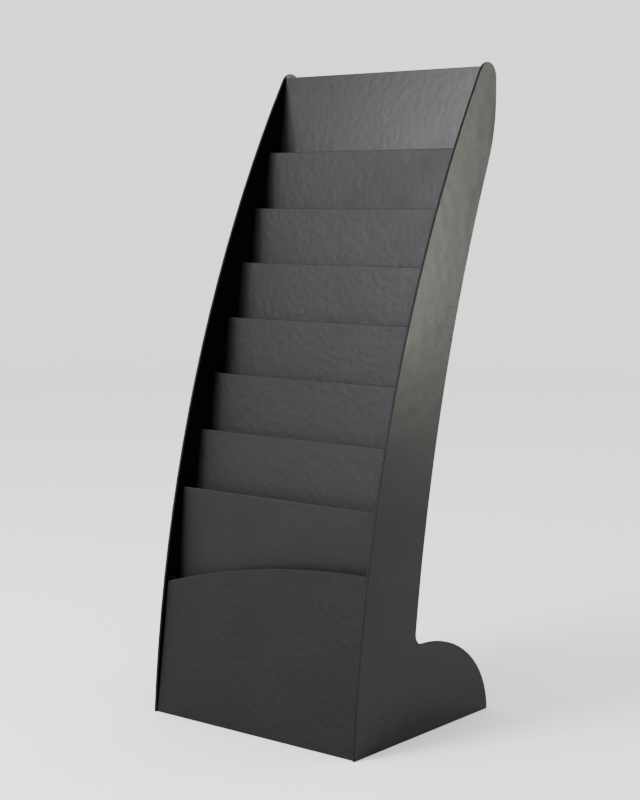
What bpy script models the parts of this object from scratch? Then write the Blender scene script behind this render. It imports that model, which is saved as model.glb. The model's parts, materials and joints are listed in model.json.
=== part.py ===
"""Floor display rack: eight stepped literature pockets held between two curved side panels.

Sizes are in metres. X runs across the rack, Y from front to back and Z up. Shapes are worked out
in a side view whose zero is the front foot of the side panels, and an empty centres the rack on
its own footprint.
"""

import math

import bmesh
import bpy
from mathutils import Matrix, Vector

# Overall sizes and sheet thicknesses
WIDTH = 0.392
HEIGHT = 0.999
PANEL_THICKNESS = 0.004
SHEET_THICKNESS = 0.003
BEND_RADIUS = 0.002
EDGE_ROUNDING = 0.0008
FIT = 0.0003

# Side panel outline: a bowed front edge, a bowed rear edge, a round tip and a round heel
FRONT_RADIUS = 2.173
FRONT_EDGE_LEAN = math.radians(3.66)
REAR_EDGE_LEAN = math.radians(3.79)
COLUMN_DEPTH = 0.1335
TIP_RADIUS = 0.0225
SHOULDER_REACH = 0.037744
SHOULDER_RADIUS = 0.26
TIP_STRAIGHT = 0.002
HEEL_REACH = 0.338
HEEL_HEIGHT = 0.137
ANKLE_RADIUS = 0.016

# Header panel, which closes the top and backs the first pocket
HEADER_DROP = 0.007
HEADER_RECESS = 0.002
HEADER_LENGTH = 0.223
HEADER_SHOWN = 0.124

# Pocket trays, counted from the top
LEAN = math.radians(7.3)
LOWEST_LEAN = math.radians(4.0)
TRAY_COUNT = 7
LOWEST_TOP = 0.3445
TOP_EXTRA = 0.0039
TRAY_SETBACK = 0.0065
LOWEST_SETBACK = -0.001
POCKET_DEPTH = 0.145
TOP_BACK_HEIGHT = 0.090

# Front panel of the bottom pocket: its top edge climbs in one arc from left to right
FRONT_LOW_END = 0.201
FRONT_HIGH_END = 0.2575
FRONT_RECESS = 0.002
FRONT_FLOOR_GAP = 0.0005
BOTTOM_FLOOR = 0.1183
BOTTOM_FLANGE = 0.018

# Strips and blocks bonded to the inside of the side panels
STRINGER_THICKNESS = 0.012
STRINGER_WIDTH = 0.022
STRINGER_NECK = 0.004
STRINGER_INSET = 0.0015
STRINGER_FOOT = 0.016
CLEAT_SIDE = 0.012
HEADER_CLEAT_DROP = 0.025
HEADER_CLEAT_LENGTH = 0.150
FRONT_CLEAT_GAP = 0.012

# Base shelf, heel rail and column brace
BASE_CLEAT_RISE = 0.003
BASE_FLANGE = 0.020
HEEL_RAIL_TOP = 0.060
HEEL_RAIL_INSET = 0.003
HEEL_RAIL_FLANGE = 0.015
BRACE_HEIGHT = 0.050
BRACE_TIER = 5

# Pan head screws that hold the trays, the shelf, the rail and the brace
SCREW_RADIUS = 0.00175
SCREW_LENGTH = 0.014
SCREW_POINT = 0.002
HEAD_RADIUS = 0.0035
HEAD_RIM = 0.001
CROWN_RADIUS = 0.0021
CROWN_RISE = 0.001
CROWN_DOME = 0.0002
PAIR_SPACING = 0.022
SHELF_SCREW_MARGIN = 0.040

# How finely curves are divided, and which edges count as sharp
EDGE_STEPS = 20
SHOULDER_STEPS = 6
TIP_STEPS = 12
HEEL_STEPS = 16
ANKLE_STEPS = 6
BEND_STEPS = 3
LIP_STEPS = 4
ROUND_SIDES = 12
ROUNDING_SEGMENTS = 2
CUT_EDGE_ANGLE = math.radians(60)
SMOOTH_ANGLE = math.radians(40)
SEAM = 0.00001

# Colour and roughness of each material
PANEL_FINISH = ((0.020, 0.020, 0.019), 0.42)
TRAY_FINISH = ((0.022, 0.022, 0.023), 0.45)
STRIP_FINISH = ((0.018, 0.018, 0.018), 0.55)
ZINC_FINISH = ((0.10, 0.10, 0.10), 0.35)

INNER_HALF = WIDTH / 2 - PANEL_THICKNESS
SHEET_HALF = INNER_HALF - FIT
HEADER_TOP = HEIGHT - HEADER_DROP
# Height from one tray's top edge to the next; the highest shows a little more than the others
PITCH = (HEADER_TOP - HEADER_SHOWN - TOP_EXTRA - LOWEST_TOP) / (TRAY_COUNT - 1)


def arc(centre, radius, start, end, steps):
    """Points on an arc, from the angle start to the angle end, both ends included."""
    angles = [start + (end - start) * i / steps for i in range(steps + 1)]
    return [centre + radius * Vector((math.cos(a), math.sin(a))) for a in angles]


def angle_to(centre, point):
    """The angle, counted from the Y direction, at which a point is seen from a centre."""
    return math.atan2(point.y - centre.y, point.x - centre.x) % math.tau


def crossing(point_a, direction_a, point_b, direction_b):
    """Where two straight lines of the side view cross."""
    spread = direction_a.x * direction_b.y - direction_a.y * direction_b.x
    apart = point_b - point_a
    return point_a + direction_a * (apart.x * direction_b.y - apart.y * direction_b.x) / spread


def edge_at(centre, radius, height):
    """Distance from the front foot to a long edge arc at a height."""
    return centre.x - math.sqrt(radius**2 - (height - centre.y) ** 2)


def centre_off(centre, distance, height):
    """The point at a height that lies a distance from a centre, on the rack's side of it."""
    return Vector((edge_at(centre, distance, height), height))


def edge_centre(foot, radius, lean):
    """The centre of a long edge arc, which is behind the rack and below the floor."""
    return Vector((foot, 0)) + radius * Vector((math.cos(lean), -math.sin(lean)))


# The front edge's centre, and that of the tip, which is tangent to it
FRONT_CENTRE = edge_centre(0, FRONT_RADIUS, FRONT_EDGE_LEAN)
TIP_CENTRE = centre_off(FRONT_CENTRE, FRONT_RADIUS - TIP_RADIUS, HEIGHT - TIP_RADIUS)
TOP_REACH = TIP_CENTRE.x + TIP_RADIUS
DEPTH = max(TOP_REACH, HEEL_REACH)


def rear_radius():
    """The radius that takes the rear edge from its foot to its reach behind the tip."""
    run = TOP_REACH + SHOULDER_REACH - COLUMN_DEPTH
    rise = TIP_CENTRE.y
    inward = run * math.cos(REAR_EDGE_LEAN) - rise * math.sin(REAR_EDGE_LEAN)
    return (run**2 + rise**2) / (2 * inward)


# The rear edge's centre, and that of the ankle, which is tangent to it
REAR_RADIUS = rear_radius()
REAR_CENTRE = edge_centre(COLUMN_DEPTH, REAR_RADIUS, REAR_EDGE_LEAN)
ANKLE_CENTRE = centre_off(REAR_CENTRE, REAR_RADIUS - ANKLE_RADIUS, HEEL_HEIGHT + ANKLE_RADIUS)


def shoulder_limit():
    """The largest shoulder that leaves a short straight back under the tip."""
    off = REAR_CENTRE.x - TOP_REACH
    rise = TIP_CENTRE.y - TIP_STRAIGHT - REAR_CENTRE.y
    return (off**2 + rise**2 - REAR_RADIUS**2) / (2 * (REAR_RADIUS - off))


def shoulder_centre(radius):
    """The centre of an arc that joins the rear edge to the straight back under the tip."""
    y = TOP_REACH - radius
    rise = math.sqrt((REAR_RADIUS + radius) ** 2 - (REAR_CENTRE.x - y) ** 2)
    return Vector((y, REAR_CENTRE.y + rise))


SHOULDER = min(SHOULDER_RADIUS, shoulder_limit())
SHOULDER_CENTRE = shoulder_centre(SHOULDER)


def heel_edge(height):
    """Distance from the front foot to the heel's curve at a height."""
    rise = height / HEEL_HEIGHT
    return ANKLE_CENTRE.x + (HEEL_REACH - ANKLE_CENTRE.x) * math.sqrt(1 - rise**2)


def panel_outline():
    """The side panel's outline, from the front foot round by the heel and the tip."""
    heel_half = HEEL_REACH - ANKLE_CENTRE.x
    turns = [math.pi / 2 * i / HEEL_STEPS for i in range(HEEL_STEPS + 1)]
    heel = [
        Vector((ANKLE_CENTRE.x + heel_half * math.cos(t), HEEL_HEIGHT * math.sin(t)))
        for t in turns
    ]
    ankle_end = angle_to(REAR_CENTRE, ANKLE_CENTRE)
    ankle = arc(ANKLE_CENTRE, ANKLE_RADIUS, 1.5 * math.pi, ankle_end, ANKLE_STEPS)
    rear_end = angle_to(REAR_CENTRE, SHOULDER_CENTRE)
    rear = arc(REAR_CENTRE, REAR_RADIUS, ankle_end, rear_end, EDGE_STEPS)
    shoulder = arc(SHOULDER_CENTRE, SHOULDER, rear_end - math.pi, 0, SHOULDER_STEPS)
    tip_end = angle_to(FRONT_CENTRE, TIP_CENTRE)
    tip = arc(TIP_CENTRE, TIP_RADIUS, 0, tip_end, TIP_STEPS)
    foot = angle_to(FRONT_CENTRE, Vector((0, 0)))
    front = arc(FRONT_CENTRE, FRONT_RADIUS, tip_end, foot, EDGE_STEPS)
    return heel + ankle[1:] + rear[1:] + shoulder[1:] + tip + front[1:]


class Tier:
    """A leaning face: the middle of its front top edge, and how far it leans back."""

    def __init__(self, y, z, lean):
        self.origin = Vector((y, z))
        self.lean = lean
        self.up = Vector((math.sin(lean), math.cos(lean)))
        self.back = Vector((math.cos(lean), -math.sin(lean)))

    def at(self, depth, rise):
        """The side view's point that is depth behind the face and rise above its top edge."""
        return self.origin + self.back * depth + self.up * rise

    def local(self, point):
        """A side view's point in the tier's own depth and rise."""
        offset = point - self.origin
        return Vector((offset.dot(self.back), offset.dot(self.up)))


def chord_at(height):
    """The straight line that the pocket tops keep to, between two points of the front edge."""
    low = Vector((edge_at(FRONT_CENTRE, FRONT_RADIUS, FRONT_HIGH_END), FRONT_HIGH_END))
    high = Vector((edge_at(FRONT_CENTRE, FRONT_RADIUS, HEADER_TOP), HEADER_TOP))
    return low.x + (high.x - low.x) * (height - low.y) / (high.y - low.y)


HEADER = Tier(chord_at(HEADER_TOP) + HEADER_RECESS, HEADER_TOP, LEAN)
FRONT = Tier(FRONT_RECESS, 0, LEAN)


def tray_tiers():
    """The faces of the seven trays, from the top down."""
    tiers = []
    height = HEADER_TOP - HEADER_SHOWN
    for number in range(1, TRAY_COUNT + 1):
        lowest = number == TRAY_COUNT
        setback = LOWEST_SETBACK if lowest else TRAY_SETBACK
        lean = LOWEST_LEAN if lowest else LEAN
        tiers.append(Tier(chord_at(height) + setback, height, lean))
        height -= PITCH + TOP_EXTRA if number == 1 else PITCH
    return tiers


TRAYS = tray_tiers()
TOP_TRAY = TRAYS[0]
LOWEST_TRAY = TRAYS[-1]
HEADER_DEPTH = TOP_TRAY.local(HEADER.origin).x
BOTTOM_FRONT = SHEET_THICKNESS + FIT


def bent_path(corners, radius, steps):
    """A sheet's middle line through its corners, each bent to a radius, with its normals."""
    path = []
    for i, corner in enumerate(corners):
        ahead = (corners[min(i + 1, len(corners) - 1)] - corner).normalized()
        behind = (corner - corners[max(i - 1, 0)]).normalized()
        if i == 0 or i == len(corners) - 1:
            way = ahead if i == 0 else behind
            path.append((corner, Vector((-way.y, way.x))))
            continue
        turn = math.atan2(behind.x * ahead.y - behind.y * ahead.x, behind.dot(ahead))
        side = math.copysign(1, turn)
        start = corner - behind * radius * math.tan(abs(turn) / 2)
        normal = Vector((-behind.y, behind.x))
        centre = start + normal * radius * side
        for step in range(steps + 1):
            angle = turn * step / steps
            turned = Matrix.Rotation(angle, 2) @ normal
            path.append((centre - turned * radius * side, turned))
    return path


def sheet_outline(corners, thickness, round_start=False, round_end=False):
    """The closed outline of a bent sheet whose middle line runs through the corners."""
    half = thickness / 2
    path = bent_path(corners, BEND_RADIUS + half, BEND_STEPS)
    outline = [point - normal * half for point, normal in path]
    if round_end:
        outline += lip(path[-1], half, 1)
    outline += [point + normal * half for point, normal in reversed(path)]
    if round_start:
        outline += lip(path[0], half, -1)
    return outline


def lip(end, half, way):
    """Points that round a sheet's end off, without the two that the outline already has."""
    point, normal = end
    along = Vector((normal.y, -normal.x)) * way
    steps = [math.pi * i / LIP_STEPS for i in range(1, LIP_STEPS)]
    return [point - normal * way * half * math.cos(a) + along * half * math.sin(a) for a in steps]


def mesh_of(name, form, material):
    """A mesh made from a bmesh, with its faces pointing out."""
    bmesh.ops.recalc_face_normals(form, faces=form.faces)
    mesh = bpy.data.meshes.new(name)
    form.to_mesh(mesh)
    form.free()
    mesh.materials.append(material)
    return mesh


def place(name, mesh, parent, location=(0, 0, 0), lean=0.0):
    """An object for a mesh, placed in the rack's frame and leaning back about X."""
    piece = bpy.data.objects.new(name, mesh)
    bpy.context.collection.objects.link(piece)
    piece.parent = parent
    piece.location = location
    piece.rotation_euler = (-lean, 0, 0)
    return piece


def add_object(name, form, material, parent, location=(0, 0, 0), lean=0.0):
    """An object with a mesh of its own, made from a bmesh."""
    return place(name, mesh_of(name, form, material), parent, location, lean)


def extruded(points, along):
    """A solid made by extruding one flat outline along a vector."""
    form = bmesh.new()
    face = form.faces.new([form.verts.new(p) for p in points])
    swept = bmesh.ops.extrude_face_region(form, geom=[face])
    moved = [v for v in swept["geom"] if isinstance(v, bmesh.types.BMVert)]
    bmesh.ops.translate(form, verts=moved, vec=along)
    return form


def across(outline, start, end):
    """A solid with a side view outline, from one X to another."""
    return extruded([(start, p.x, p.y) for p in outline], (end - start, 0, 0))


def side_strip(outline, side, thickness):
    """A solid with a side view outline that lies against the inside of one side panel."""
    return across(outline, side * SHEET_HALF, side * (SHEET_HALF - thickness))


def round_edges(piece, width):
    """A bevel that takes the sharpness off a sheet's cut edges."""
    bevel = piece.modifiers.new("rounded_edges", "BEVEL")
    bevel.width = width
    bevel.segments = ROUNDING_SEGMENTS
    bevel.limit_method = "ANGLE"
    bevel.angle_limit = CUT_EDGE_ANGLE


def drill(piece, cutter):
    """Screw holes cut through a piece."""
    holes = piece.modifiers.new("screw_holes", "BOOLEAN")
    holes.operation = "DIFFERENCE"
    holes.solver = "EXACT"
    holes.object = cutter


def finish(name, colour, roughness, metallic=0):
    """A material: plastic sheet, or steel where it is metallic."""
    material = bpy.data.materials.new(name)
    material.use_nodes = True
    shader = material.node_tree.nodes["Principled BSDF"]
    shader.inputs["Base Color"].default_value = (*colour, 1)
    shader.inputs["Roughness"].default_value = roughness
    shader.inputs["Metallic"].default_value = metallic
    return material


def side_panel(name, side, material, rack):
    """A flat side panel, outside face on the rack's full width."""
    form = across(panel_outline(), side * WIDTH / 2, side * INNER_HALF)
    round_edges(add_object(name, form, material, rack), EDGE_ROUNDING)


def header_panel(material, rack):
    """The sheet between the tips, with a rounded top edge."""
    half = SHEET_THICKNESS / 2
    corners = [Vector((half, -HEADER_LENGTH)), Vector((half, -half))]
    outline = sheet_outline(corners, SHEET_THICKNESS, round_end=True)
    form = across(outline, -SHEET_HALF, SHEET_HALF)
    add_object("header_panel", form, material, rack, (0, *HEADER.origin), HEADER.lean)


def tray_corners(number):
    """Corners of a tray's middle line: front wall, floor and back wall, in the side view."""
    tier = TRAYS[number - 1]
    half = SHEET_THICKNESS / 2
    front_top = tier.at(half, -half)
    front_foot = tier.at(half, half - POCKET_DEPTH)
    if number == 1:
        back = HEADER_DEPTH - FIT - half
        back_foot = tier.at(back, half - POCKET_DEPTH)
        back_top = tier.at(back, TOP_BACK_HEIGHT - POCKET_DEPTH)
        return [front_top, front_foot, back_foot, back_top]
    above = TRAYS[number - 2]
    back_top = above.at(half, -POCKET_DEPTH - FIT)
    back_foot = crossing(front_foot, tier.back, back_top, above.up)
    return [front_top, front_foot, back_foot, back_top]


def pocket_tray(number, material, rack):
    """A bent sheet pocket that is open at the top and closed at its ends by the side panels."""
    tier = TRAYS[number - 1]
    corners = [tier.local(p) for p in tray_corners(number)]
    outline = sheet_outline(corners, SHEET_THICKNESS, round_start=True)
    form = across(outline, -SHEET_HALF, SHEET_HALF)
    name = f"pocket_tray_{number}"
    return add_object(name, form, material, rack, (0, *tier.origin), tier.lean)


def bottom_corners():
    """Corners of the bottom tray's middle line: flange, floor and back wall."""
    half = SHEET_THICKNESS / 2
    front = BOTTOM_FRONT + half
    flange_foot = FRONT.at(front, BOTTOM_FLOOR - BOTTOM_FLANGE)
    floor_front = FRONT.at(front, BOTTOM_FLOOR + half)
    back_top = LOWEST_TRAY.at(half, -POCKET_DEPTH - FIT)
    floor_back = crossing(floor_front, FRONT.back, back_top, LOWEST_TRAY.up)
    return [flange_foot, floor_front, floor_back, back_top]


def bottom_tray(material, rack):
    """Floor and back wall of the bottom pocket, with a flange turned down behind the front."""
    outline = sheet_outline([FRONT.local(p) for p in bottom_corners()], SHEET_THICKNESS)
    form = across(outline, -SHEET_HALF, SHEET_HALF)
    return add_object("bottom_tray", form, material, rack, (0, *FRONT.origin), FRONT.lean)


def front_panel(material, rack):
    """The bottom pocket's face, whose top edge is an arc that is level at its right end."""
    slope = math.cos(LEAN)
    low = FRONT_LOW_END / slope
    high = FRONT_HIGH_END / slope
    width = 2 * SHEET_HALF
    rise = high - low
    radius = (width**2 + rise**2) / (2 * rise)
    sweep = math.asin(width / radius)
    centre = Vector((SHEET_HALF, high - radius))
    top = arc(centre, radius, math.pi / 2, math.pi / 2 + sweep, EDGE_STEPS)
    foot = FRONT_FLOOR_GAP / slope
    outline = [Vector((-SHEET_HALF, foot)), Vector((SHEET_HALF, foot)), *top]
    form = extruded([(p.x, 0, p.y) for p in outline], (0, SHEET_THICKNESS, 0))
    piece = add_object("front_panel", form, material, rack, (0, *FRONT.origin), FRONT.lean)
    round_edges(piece, EDGE_ROUNDING)


def stringer_steps():
    """Inner and outer corner of each step of the stringers, from the bottom pocket up."""
    gap = SHEET_THICKNESS + FIT
    under = -POCKET_DEPTH - FIT
    bottom_inner = FRONT.at(BOTTOM_FRONT + gap + BEND_RADIUS, BOTTOM_FLOOR - FIT)
    lowest_riser = LOWEST_TRAY.at(gap, under)
    bottom_outer = crossing(bottom_inner, FRONT.back, lowest_riser, LOWEST_TRAY.up)
    steps = [(bottom_inner, bottom_outer)]
    for number in range(TRAY_COUNT, 0, -1):
        tier = TRAYS[number - 1]
        inner = tier.at(gap, under)
        if number == 1:
            outer = tier.at(HEADER_DEPTH - FIT, under)
        else:
            above = TRAYS[number - 2]
            outer = crossing(inner, tier.back, above.at(gap, under), above.up)
        steps.append((inner, outer))
    return steps


def behind_step(outer):
    """The stringer's rear edge level with a step, inside the side panel's rear edge."""
    limit = edge_at(REAR_CENTRE, REAR_RADIUS, outer.y) - STRINGER_INSET
    reach = min(limit, outer.x + STRINGER_WIDTH)
    return Vector((max(reach, outer.x + STRINGER_NECK), outer.y))


def stringer(name, side, material, rack):
    """A stepped strip that carries every tray, like the string of a stair."""
    steps = stringer_steps()
    foot = steps[0][0].y - STRINGER_FOOT
    bottom_inner, bottom_outer = steps[0]
    outline = [Vector((bottom_inner.x, foot))]
    for inner, outer in steps:
        outline += [inner, outer]
    outline += [behind_step(outer) for _, outer in reversed(steps)]
    outline.append(Vector((bottom_outer.x + STRINGER_WIDTH, foot)))
    return add_object(name, side_strip(outline, side, STRINGER_THICKNESS), material, rack)


def strip_box(depth, rise, depth_end, rise_end):
    """A rectangle's outline from two opposite corners."""
    return [
        Vector((depth, rise)),
        Vector((depth_end, rise)),
        Vector((depth_end, rise_end)),
        Vector((depth, rise_end)),
    ]


def header_cleat(name, side, material, rack):
    """A square strip bonded behind the header panel and to the side panel."""
    front = SHEET_THICKNESS + FIT
    foot = -HEADER_CLEAT_DROP - HEADER_CLEAT_LENGTH
    outline = strip_box(front, foot, front + CLEAT_SIDE, -HEADER_CLEAT_DROP)
    form = side_strip(outline, side, CLEAT_SIDE)
    piece = add_object(name, form, material, rack, (0, *HEADER.origin), HEADER.lean)
    round_edges(piece, EDGE_ROUNDING)


SHELF_UNDER = BASE_CLEAT_RISE + CLEAT_SIDE + FIT
SHELF_TOP = SHELF_UNDER + SHEET_THICKNESS
RAIL_FACE = heel_edge(HEEL_RAIL_TOP) - HEEL_RAIL_INSET - SHEET_THICKNESS


def front_cleat(name, side, material, rack):
    """A square strip bonded behind the front panel, from the base flange up."""
    front = SHEET_THICKNESS + FIT
    foot = FRONT.local(Vector((0, SHELF_TOP + BASE_FLANGE + FIT))).y
    top = BOTTOM_FLOOR - BOTTOM_FLANGE - FRONT_CLEAT_GAP
    outline = strip_box(front, foot, front + CLEAT_SIDE, top)
    form = side_strip(outline, side, CLEAT_SIDE)
    piece = add_object(name, form, material, rack, (0, *FRONT.origin), FRONT.lean)
    round_edges(piece, EDGE_ROUNDING)


def shelf_front():
    """The corner of the base shelf's middle line behind the front panel."""
    half = SHEET_THICKNESS / 2
    behind = FRONT.at(SHEET_THICKNESS + FIT + half, 0)
    return crossing(behind, FRONT.up, Vector((0, SHELF_UNDER + half)), Vector((1, 0)))


def base_shelf(material, rack):
    """The plate between the feet, with a flange turned up behind the front panel."""
    half = SHEET_THICKNESS / 2
    corner = shelf_front()
    flange_top = corner + FRONT.up * (BASE_FLANGE - half)
    rear = Vector((RAIL_FACE - FIT, corner.y))
    outline = sheet_outline([flange_top, corner, rear], SHEET_THICKNESS)
    form = across(outline, -SHEET_HALF, SHEET_HALF)
    return add_object("base_shelf", form, material, rack)


def base_cleat(name, side, material, rack):
    """A square strip along the foot of a side panel, under the base shelf."""
    start = shelf_front().x + SHEET_THICKNESS
    end = RAIL_FACE - FIT
    outline = strip_box(start, BASE_CLEAT_RISE, end, BASE_CLEAT_RISE + CLEAT_SIDE)
    piece = add_object(name, side_strip(outline, side, CLEAT_SIDE), material, rack)
    round_edges(piece, EDGE_ROUNDING)
    return piece


def heel_rail(material, rack):
    """The board that joins the heels, with a flange turned forward along its top."""
    half = SHEET_THICKNESS / 2
    middle = RAIL_FACE + half
    corners = [
        Vector((middle, BASE_CLEAT_RISE)),
        Vector((middle, HEEL_RAIL_TOP - half)),
        Vector((middle - HEEL_RAIL_FLANGE, HEEL_RAIL_TOP - half)),
    ]
    form = across(sheet_outline(corners, SHEET_THICKNESS), -SHEET_HALF, SHEET_HALF)
    return add_object("heel_rail", form, material, rack)


def heel_block(name, side, material, rack):
    """A block in the corner of shelf, rail and side panel, which takes the rail's screws."""
    top = HEEL_RAIL_TOP - SHEET_THICKNESS - BEND_RADIUS
    rear = RAIL_FACE - FIT
    outline = strip_box(rear - CLEAT_SIDE, SHELF_TOP + FIT, rear, top)
    piece = add_object(name, side_strip(outline, side, CLEAT_SIDE), material, rack)
    round_edges(piece, EDGE_ROUNDING)
    return piece


def brace_tier():
    """The column brace's front face, which lies along the rear edge of the stringers."""
    steps = stringer_steps()
    place = TRAY_COUNT + 1 - BRACE_TIER
    high = behind_step(steps[place][1])
    low = behind_step(steps[place - 1][1])
    lean = math.atan2(high.x - low.x, high.y - low.y)
    tier = Tier(*((high + low) / 2), lean)
    return Tier(*tier.at(FIT, BRACE_HEIGHT / 2), lean)


def column_brace(material, rack):
    """A flat board screwed across the rear edges of both stringers."""
    tier = brace_tier()
    outline = strip_box(0, -BRACE_HEIGHT, SHEET_THICKNESS, 0)
    form = across(outline, -SHEET_HALF, SHEET_HALF)
    return add_object("column_brace", form, material, rack, (0, *tier.origin), tier.lean)


def screw_form():
    """A turned pan head screw on the Z axis, its head seated at zero and its point below."""
    form = bmesh.new()
    profile = [
        (0, HEAD_RIM + CROWN_RISE + CROWN_DOME),
        (CROWN_RADIUS, HEAD_RIM + CROWN_RISE),
        (HEAD_RADIUS, HEAD_RIM),
        (HEAD_RADIUS, FIT),
        (SCREW_RADIUS, FIT),
        (SCREW_RADIUS, SCREW_POINT - SCREW_LENGTH),
        (0, -SCREW_LENGTH),
    ]
    verts = [form.verts.new((r, 0, z)) for r, z in profile]
    edges = [form.edges.new(pair) for pair in zip(verts, verts[1:])]
    bmesh.ops.spin(
        form,
        geom=verts + edges,
        cent=(0, 0, 0),
        axis=(0, 0, 1),
        angle=math.tau,
        steps=ROUND_SIDES,
        use_merge=True,
    )
    bmesh.ops.remove_doubles(form, verts=form.verts, dist=SEAM)
    return form


def screw_places():
    """Name, place and driving direction of every screw, in the rack's frame."""
    places = []
    edge = SHEET_HALF - STRINGER_THICKNESS / 2
    floors = [("bottom_tray", FRONT, bottom_corners())]
    for number, tier in enumerate(TRAYS, start=1):
        floors.append((f"tray_{number}", tier, tray_corners(number)))
    for label, tier, (_, floor_front, floor_back, _) in floors:
        seat = (floor_front + floor_back) / 2 + tier.up * SHEET_THICKNESS / 2
        places.append((f"{label}_screw", edge, seat, -tier.up))
    brace = brace_tier()
    for label, rise in (("upper", PAIR_SPACING / 2), ("lower", -PAIR_SPACING / 2)):
        seat = brace.at(SHEET_THICKNESS, rise - BRACE_HEIGHT / 2)
        places.append((f"brace_{label}_screw", edge, seat, -brace.back))
    edge = SHEET_HALF - CLEAT_SIDE / 2
    middle = (SHELF_TOP + HEEL_RAIL_TOP - SHEET_THICKNESS) / 2
    for label, rise in (("upper", PAIR_SPACING / 2), ("lower", -PAIR_SPACING / 2)):
        seat = Vector((RAIL_FACE + SHEET_THICKNESS, middle + rise))
        places.append((f"rail_{label}_screw", edge, seat, Vector((-1, 0))))
    front = shelf_front().x + SHELF_SCREW_MARGIN
    rear = RAIL_FACE - SHELF_SCREW_MARGIN
    for label, y in (("front", front), ("rear", rear)):
        seat = Vector((y, SHELF_TOP))
        places.append((f"shelf_{label}_screw", edge, seat, Vector((0, -1))))
    return places


def screws(material, rack):
    """Every screw of both sides, sharing one mesh, and one cutter with all their holes."""
    mesh = mesh_of("screw", screw_form(), material)
    mesh.shade_smooth()
    mesh.set_sharp_from_angle(angle=SMOOTH_ANGLE)
    holes = bmesh.new()
    for label, x, seat, way in screw_places():
        lean = math.atan2(-way.x, -way.y)
        for hand, side in (("left", -1), ("right", 1)):
            spot = (side * x, *seat)
            place(f"{label}_{hand}", mesh, rack, spot, lean)
            bmesh.ops.create_cone(
                holes,
                cap_ends=True,
                segments=ROUND_SIDES,
                radius1=SCREW_RADIUS + FIT,
                radius2=SCREW_RADIUS + FIT,
                depth=2 * (SCREW_LENGTH + FIT),
                matrix=Matrix.Translation(spot) @ Matrix.Rotation(-lean, 4, "X"),
            )
    cutter = add_object("screw_holes", holes, material, rack)
    cutter.hide_render = True
    cutter.display_type = "WIRE"
    return cutter


def build_rack():
    """The whole rack, centred on its footprint."""
    for thing in list(bpy.data.objects):
        bpy.data.objects.remove(thing)
    rack = bpy.data.objects.new("rack", None)
    bpy.context.collection.objects.link(rack)
    rack.location = (0, -DEPTH / 2, 0)

    panels = finish("panel_plastic", *PANEL_FINISH)
    trays = finish("tray_plastic", *TRAY_FINISH)
    strips = finish("strip_plastic", *STRIP_FINISH)
    zinc = finish("black_zinc", *ZINC_FINISH, metallic=1)

    cutter = screws(zinc, rack)
    for hand, side in (("left", -1), ("right", 1)):
        side_panel(f"side_panel_{hand}", side, panels, rack)
        drill(stringer(f"stringer_{hand}", side, strips, rack), cutter)
        header_cleat(f"header_cleat_{hand}", side, strips, rack)
        front_cleat(f"front_cleat_{hand}", side, strips, rack)
        drill(base_cleat(f"base_cleat_{hand}", side, strips, rack), cutter)
        drill(heel_block(f"heel_block_{hand}", side, strips, rack), cutter)
    header_panel(trays, rack)
    for number in range(1, TRAY_COUNT + 1):
        drill(pocket_tray(number, trays, rack), cutter)
    drill(bottom_tray(trays, rack), cutter)
    front_panel(trays, rack)
    drill(base_shelf(trays, rack), cutter)
    drill(heel_rail(trays, rack), cutter)
    drill(column_brace(trays, rack), cutter)


build_rack()
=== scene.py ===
import json
import math

import bmesh
import bpy
from bpy.props import (
    FloatProperty,
    FloatVectorProperty,
    IntProperty,
    PointerProperty,
)
from bpy.types import Operator, Panel, PropertyGroup
from mathutils import Matrix, Vector

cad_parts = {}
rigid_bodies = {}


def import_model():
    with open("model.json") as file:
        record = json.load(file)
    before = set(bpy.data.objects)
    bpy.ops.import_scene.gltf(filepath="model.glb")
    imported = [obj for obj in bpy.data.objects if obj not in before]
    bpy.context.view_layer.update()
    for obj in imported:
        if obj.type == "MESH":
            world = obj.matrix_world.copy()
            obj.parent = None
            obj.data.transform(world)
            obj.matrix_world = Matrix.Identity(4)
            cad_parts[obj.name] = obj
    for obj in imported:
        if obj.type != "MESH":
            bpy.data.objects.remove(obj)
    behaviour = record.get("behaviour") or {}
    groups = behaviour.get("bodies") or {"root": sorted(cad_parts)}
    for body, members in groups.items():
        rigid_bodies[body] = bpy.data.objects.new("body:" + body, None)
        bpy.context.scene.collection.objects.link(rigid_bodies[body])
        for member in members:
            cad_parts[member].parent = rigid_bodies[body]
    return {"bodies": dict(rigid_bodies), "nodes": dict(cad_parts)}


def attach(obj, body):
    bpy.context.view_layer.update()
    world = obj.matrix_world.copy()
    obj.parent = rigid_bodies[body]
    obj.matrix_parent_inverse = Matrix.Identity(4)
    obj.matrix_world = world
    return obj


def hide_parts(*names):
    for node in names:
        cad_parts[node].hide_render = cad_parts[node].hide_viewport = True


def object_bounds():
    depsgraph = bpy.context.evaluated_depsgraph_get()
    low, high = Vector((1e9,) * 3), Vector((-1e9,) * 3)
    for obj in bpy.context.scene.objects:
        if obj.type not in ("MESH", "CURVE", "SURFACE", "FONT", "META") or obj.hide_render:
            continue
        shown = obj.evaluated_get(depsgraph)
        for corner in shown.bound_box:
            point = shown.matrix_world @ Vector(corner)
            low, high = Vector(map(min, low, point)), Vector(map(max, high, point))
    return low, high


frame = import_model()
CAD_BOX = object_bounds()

bl_info = {
    "name": "Floor Display Rack",
    "version": (1, 0, 0),
    "blender": (4, 5, 0),
    "location": "3D View > Sidebar > Rack",
    "description": "Finishes a floor display rack of bent black sheet and lights it in a studio",
    "category": "Object",
}

# Names of the rack's parts and of the body they are attached to
SIDES = ("left", "right")
TRAYS = [name for name in sorted(frame["nodes"]) if name.startswith("pocket_tray_")]
SCREWS = [name for name in sorted(frame["nodes"]) if "_screw_" in name]
ROOT = "root"

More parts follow.
